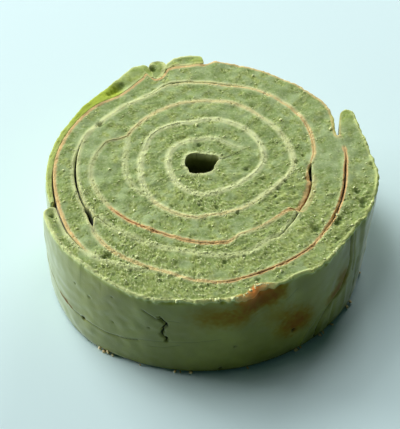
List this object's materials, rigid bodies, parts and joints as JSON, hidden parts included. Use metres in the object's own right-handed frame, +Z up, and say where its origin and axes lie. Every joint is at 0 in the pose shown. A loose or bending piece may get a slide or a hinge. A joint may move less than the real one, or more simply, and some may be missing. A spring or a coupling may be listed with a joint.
{
  "type": "slice of baumkuchen",
  "caption": "Round slice of rolled green baumkuchen: thin cake sheets wound in a spiral round a small through hole, with browned seams, a loose flap and a thin skin on its rim.",
  "frame": {"origin": "middle of the bounding box on the lower cut face, which the slice stands on", "axes": "+Z up, square to both cut faces; -Y towards the side seen in front, +X to its right"},
  "size_m": [0.0804, 0.0838, 0.0275],
  "materials": {
    "crumb": "matte green cake crumb with fine pores",
    "outer_crumb": "matte crumb with a smooth, slightly satin green skin outside, browned in patches",
    "skin": "thin moist yellow-green cake skin, satin"
  },
  "bodies": {
    "root": {"first_sheet": "crumb", "second_sheet": "crumb", "third_sheet": "crumb", "outer_sheet": "outer_crumb", "thin_skin": "skin", "back_scrap": "skin"}
  },
  "joints": []
}
